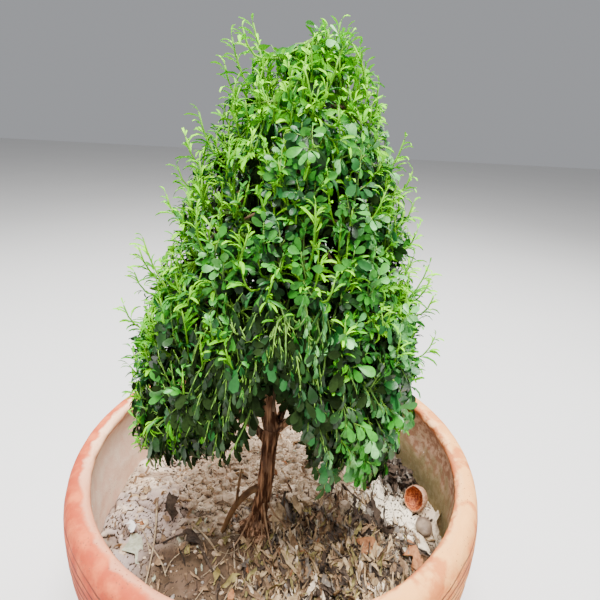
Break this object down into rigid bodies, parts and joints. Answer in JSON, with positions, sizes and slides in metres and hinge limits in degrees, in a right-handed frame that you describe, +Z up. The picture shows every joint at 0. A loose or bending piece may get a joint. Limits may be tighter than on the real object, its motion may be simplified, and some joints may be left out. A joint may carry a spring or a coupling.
{
  "type": "potted orange jasmine",
  "caption": "Small clipped orange jasmine tree with a dense cone-shaped crown on a short leaning trunk, in a round terracotta bowl pot filled with soil.",
  "frame": {"origin": "centre of the pot's flat underside", "axes": "+Z up along the tree, -Y towards the picture's viewer, +X to the viewer's right"},
  "size_m": [0.402, 0.402, 0.6274],
  "materials": {
    "terracotta": "matte",
    "soil": "matte",
    "bark": "matte",
    "leaf": "satin"
  },
  "bodies": {
    "root": {"pot": "terracotta", "soil": "soil", "trunk": "bark", "leader": "bark", "side_root": "bark", "skirt_limb_left": "bark", "skirt_limb_right": "bark", "skirt_limb_back_right": "bark", "skirt_limb_back_left": "bark", "middle_limb_front": "bark", "middle_limb_right": "bark", "middle_limb_back": "bark", "middle_limb_left": "bark", "upper_limb_front": "bark", "upper_limb_right": "bark", "upper_limb_left": "bark", "foliage_skirt_left": "leaf", "foliage_skirt_right": "leaf", "foliage_skirt_back_right": "leaf", "foliage_skirt_back_left": "leaf", "foliage_middle_front": "leaf", "foliage_middle_right": "leaf", "foliage_middle_back": "leaf", "foliage_middle_left": "leaf", "foliage_upper_front": "leaf", "foliage_upper_right": "leaf", "foliage_upper_left": "leaf", "foliage_top": "leaf"}
  },
  "joints": []
}
